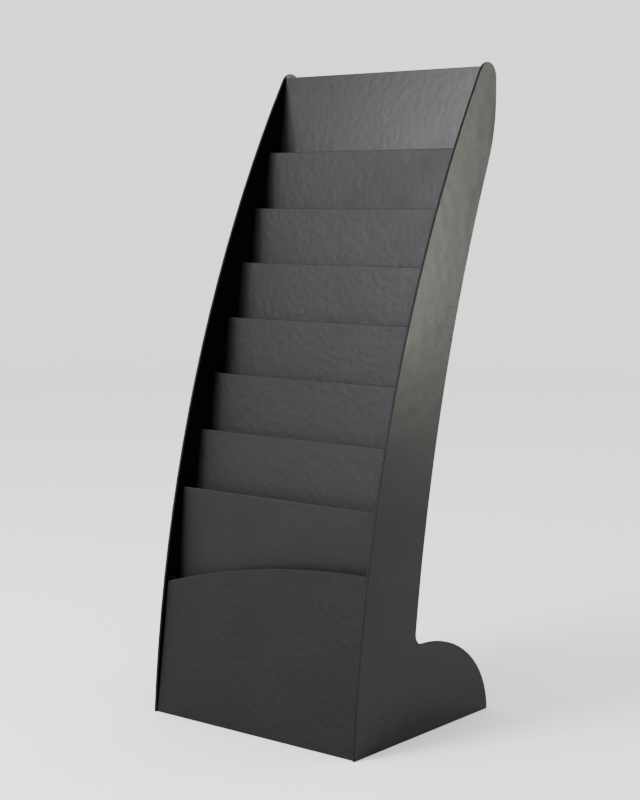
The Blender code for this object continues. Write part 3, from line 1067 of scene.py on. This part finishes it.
def screw_head_profile(sizes):
    """A pan head's outline from its crown to its shank's point, in radius and height."""
    rise, reach = sizes.head_height, sizes.head_radius
    return [
        (0, rise),
        *((reach * out, rise * up) for out, up in HEAD_OUTLINE),
        (reach, SEAT_GAP),
        (sizes.shank_radius, SEAT_GAP),
        (sizes.shank_radius, POINT_LENGTH - sizes.length),
        (0, -sizes.length),
    ]


def turned(profile, steps):
    """A closed form turned about Z from an outline of radius and height."""
    form = bmesh.new()
    verts = [form.verts.new((r, 0, z)) for r, z in profile]
    edges = [form.edges.new(pair) for pair in zip(verts, verts[1:])]
    bmesh.ops.spin(
        form,
        geom=verts + edges,
        cent=(0, 0, 0),
        axis=(0, 0, 1),
        angle=math.tau,
        steps=steps,
        use_merge=True,
    )
    bmesh.ops.remove_doubles(form, verts=form.verts, dist=SEAM)
    bmesh.ops.recalc_face_normals(form, faces=form.faces)
    return form


def cross_cutter(sizes):
    """Two crossed blocks that cut a screw head's recess."""
    form = bmesh.new()
    tall = 2 * sizes.recess_depth
    for turn in (0, math.pi / 2):
        size = Matrix.Diagonal((sizes.recess_width, sizes.recess_slot, tall, 1))
        place = Matrix.Translation((0, 0, sizes.head_height))
        bmesh.ops.create_cube(form, size=1, matrix=place @ Matrix.Rotation(turn, 4, "Z") @ size)
    return form


def object_of(form, name):
    """A plain object for a bmesh."""
    mesh = bpy.data.meshes.new(name)
    form.to_mesh(mesh)
    form.free()
    made = bpy.data.objects.new(name, mesh)
    bpy.context.scene.collection.objects.link(made)
    return made


def screw_mesh(sizes):
    """One pan head screw on the Z axis, with its cross recess cut."""
    blank = object_of(turned(screw_head_profile(sizes), SCREW_STEPS), "screw_blank")
    cutter = object_of(cross_cutter(sizes), "recess_cutter")
    recess = blank.modifiers.new("recess", "BOOLEAN")
    recess.object = cutter
    recess.use_self = True
    seen = bpy.context.evaluated_depsgraph_get()
    mesh = bpy.data.meshes.new_from_object(blank.evaluated_get(seen))
    for spare in (blank, cutter):
        bpy.data.objects.remove(spare)
    return mesh


def screw_place(node, sizes):
    """Where a solid screw's head is seated and how it is turned, read from its vertices."""
    points = [v.co.copy() for v in frame["nodes"][node].data.vertices]
    middle = sum(points, Vector()) / len(points)
    tip = max(points, key=lambda p: (p - middle).length)
    crown = max(points, key=lambda p: (p - tip).length)
    crowns = [p for p in points if abs((p - tip).length - (crown - tip).length) < SEAM]
    crown = sum(crowns, Vector()) / len(crowns)
    way = (crown - tip).normalized()
    turn = Vector((0, 0, 1)).rotation_difference(way)
    return Matrix.Translation(tip + way * sizes.length) @ turn.to_matrix().to_4x4()


class RACK_OT_screws(Operator):
    """Make the pan head screws with their cross recesses"""

    bl_idname = "rack.screws"
    bl_label = "Screws"

    def execute(self, context):
        sizes = context.scene.rack_screws
        material = black_zinc("black_zinc_plating", sizes, context.scene.rack_sheet)
        master = screw_mesh(sizes)
        for number, node in enumerate(SCREWS):
            spun = Matrix.Rotation(number * SCREW_TURN, 4, "Z")
            place = screw_place(node, sizes) @ spun
            form = bmesh.new()
            form.from_mesh(master)
            bmesh.ops.transform(form, matrix=place, verts=form.verts)
            stand_in(form, node + "_finished", [node], "black_zinc", material)
        bpy.data.meshes.remove(master)
        return {"FINISHED"}


def round_studio(settings):
    """A floor that curves up into a round wall."""
    floor, cove = settings.floor_radius, settings.cove_radius
    turns = [math.pi / 2 * i / COVE_STEPS for i in range(COVE_STEPS + 1)]
    curve = [(floor + cove * math.sin(t), cove - cove * math.cos(t)) for t in turns]
    form = turned([(0, 0), *curve, (floor + cove, settings.wall_height)], STUDIO_STEPS)
    bmesh.ops.reverse_faces(form, faces=form.faces)
    studio = object_of(form, "studio_floor")
    studio.data.shade_smooth()
    material, tree, shader = new_material("studio_paint")
    cloud = add(tree, "TexNoise", {"Vector": places(tree), "Scale": 0.7, "Detail": 3.0})
    paint = mixed(tree, cloud.outputs[0], *tints(settings.floor_colour, PAINT_TINT))
    tree.links.new(paint, shader.inputs["Base Color"])
    shader.inputs["Roughness"].default_value = 0.9
    shader.inputs["Specular IOR Level"].default_value = 0.2
    studio.data.materials.append(material)


def softbox(name, power, target, place, width, height, colour):
    """A large soft rectangular light, which the camera doesn't see."""
    lamp = bpy.data.lights.new(name, "AREA")
    lamp.shape = "RECTANGLE"
    lamp.size = width
    lamp.size_y = height
    lamp.energy = power
    lamp.color = colour
    made = bpy.data.objects.new(name, lamp)
    made.location = place
    way = Vector(target) - Vector(place)
    made.rotation_euler = way.to_track_quat("-Z", "Y").to_euler()
    made.visible_camera = False
    bpy.context.scene.collection.objects.link(made)


class RACK_OT_stage(Operator):
    """Set the floor, the lights and the camera"""

    bl_idname = "rack.stage"
    bl_label = "Stage"

    def execute(self, context):
        scene = context.scene
        settings = scene.rack_stage
        round_studio(settings)
        world = bpy.data.worlds.new("even_sky")
        world.use_nodes = True
        sky = world.node_tree.nodes["Background"].inputs
        sky["Strength"].default_value = settings.sky
        sky["Color"].default_value = (1, 1, 1, 1)
        scene.world = world
        middle = (CAD_BOX[0] + CAD_BOX[1]) / 2
        for side, box in SOFTBOXES.items():
            softbox(side + "_softbox", getattr(settings, side + "_light"), middle, *box)
        lens = bpy.data.cameras.new("photo_camera")
        lens.lens = settings.lens
        lens.sensor_fit = "AUTO"
        lens.sensor_width = SENSOR
        lens.shift_x, lens.shift_y = settings.shift
        lens.clip_start = 0.05
        lens.clip_end = 60
        camera = bpy.data.objects.new("photo_camera", lens)
        camera.location = settings.camera_place
        camera.rotation_euler = (math.pi / 2 - settings.camera_dip, 0, settings.camera_turn)
        scene.collection.objects.link(camera)
        scene.camera = camera
        return {"FINISHED"}


class RACK_PT_sidebar(Panel):
    """The rack's pieces, their finishes and the stage"""

    bl_idname = "RACK_PT_sidebar"
    bl_label = "Floor Display Rack"
    bl_space_type = "VIEW_3D"
    bl_region_type = "UI"
    bl_category = "Rack"

    def draw(self, context):
        for operator in OPERATORS:
            self.layout.operator(operator.bl_idname)
        for name in SETTINGS:
            settings = getattr(context.scene, name)
            box = self.layout.box()
            for key in settings.__annotations__:
                box.prop(settings, key)


OPERATORS = (
    RACK_OT_side_panels,
    RACK_OT_header_panel,
    RACK_OT_pocket_trays,
    RACK_OT_front_panel,
    RACK_OT_base_boards,
    RACK_OT_strips,
    RACK_OT_screws,
    RACK_OT_stage,
)
SETTINGS = {
    "rack_sheet": SheetFinish,
    "rack_edges": EdgeSizes,
    "rack_screws": ScrewSizes,
    "rack_stage": StageSettings,
}


def register():
    for settings in SETTINGS.values():
        bpy.utils.register_class(settings)
    for operator in OPERATORS:
        bpy.utils.register_class(operator)
    bpy.utils.register_class(RACK_PT_sidebar)
    for name, settings in SETTINGS.items():
        setattr(bpy.types.Scene, name, PointerProperty(type=settings))


def unregister():
    for name in SETTINGS:
        delattr(bpy.types.Scene, name)
    bpy.utils.unregister_class(RACK_PT_sidebar)
    for operator in reversed(OPERATORS):
        bpy.utils.unregister_class(operator)
    for settings in reversed(SETTINGS.values()):
        bpy.utils.unregister_class(settings)


def clear_start_scene():
    """Takes away the cube, lamp and camera that a new file opens with."""
    kept = set(frame["nodes"].values()) | set(frame["bodies"].values())
    for thing in list(bpy.data.objects):
        if thing not in kept:
            bpy.data.objects.remove(thing)


def main():
    clear_start_scene()
    register()
    bpy.ops.rack.side_panels()
    bpy.ops.rack.header_panel()
    bpy.ops.rack.pocket_trays()
    bpy.ops.rack.front_panel()
    bpy.ops.rack.base_boards()
    bpy.ops.rack.strips()
    bpy.ops.rack.screws()
    bpy.ops.rack.stage()


if __name__ == "__main__":
    main()
